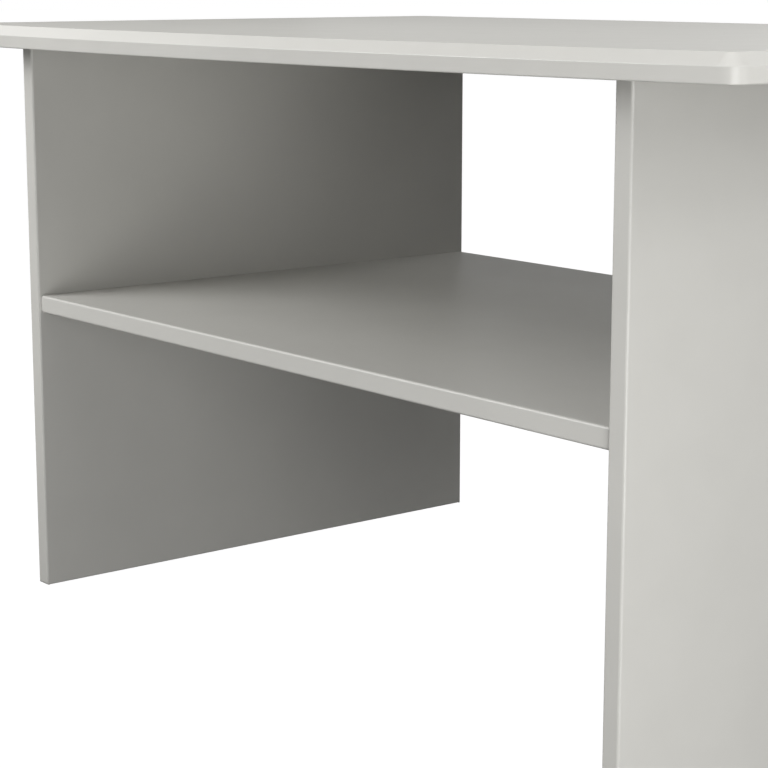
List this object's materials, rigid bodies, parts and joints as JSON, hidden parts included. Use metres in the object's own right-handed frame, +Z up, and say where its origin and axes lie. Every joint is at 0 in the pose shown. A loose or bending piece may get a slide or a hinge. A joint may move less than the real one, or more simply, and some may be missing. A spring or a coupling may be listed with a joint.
{
  "type": "desk",
  "caption": "Bow-fronted desk: bevelled top overhanging two slab ends, tied together by a full-depth shelf at mid height.",
  "frame": {"origin": "on the floor, under the middle of the whole desk in plan (middle of its width and of its depth with the bow)", "axes": "+Z up, -Y towards the bowed front where the user stands, +X to that user's right, along the width"},
  "size_m": [1.354, 0.84, 0.7215],
  "materials": {
    "board_finish": "satin light grey coated fibreboard",
    "edging_plastic": "satin light grey edging, 3 mm thick",
    "dowel_beech": "bare beech",
    "bolt_steel": "zinc-plated steel",
    "cam_zinc": "die-cast zinc alloy"
  },
  "bodies": {
    "root": {"desktop": "board_finish", "end_panel_left": "board_finish", "end_panel_right": "board_finish", "shelf": "board_finish", "edging_left_front": "edging_plastic", "edging_left_rear": "edging_plastic", "edging_left_floor": "edging_plastic", "edging_right_front": "edging_plastic", "edging_right_rear": "edging_plastic", "edging_right_floor": "edging_plastic", "edging_shelf_front": "edging_plastic", "edging_shelf_rear": "edging_plastic", "dowels_top_left": "dowel_beech", "dowels_top_right": "dowel_beech", "dowels_shelf_left": "dowel_beech", "dowels_shelf_right": "dowel_beech", "cam_bolts_left": "bolt_steel", "cam_bolts_right": "bolt_steel", "cams_left": "cam_zinc", "cams_right": "cam_zinc"}
  },
  "joints": []
}
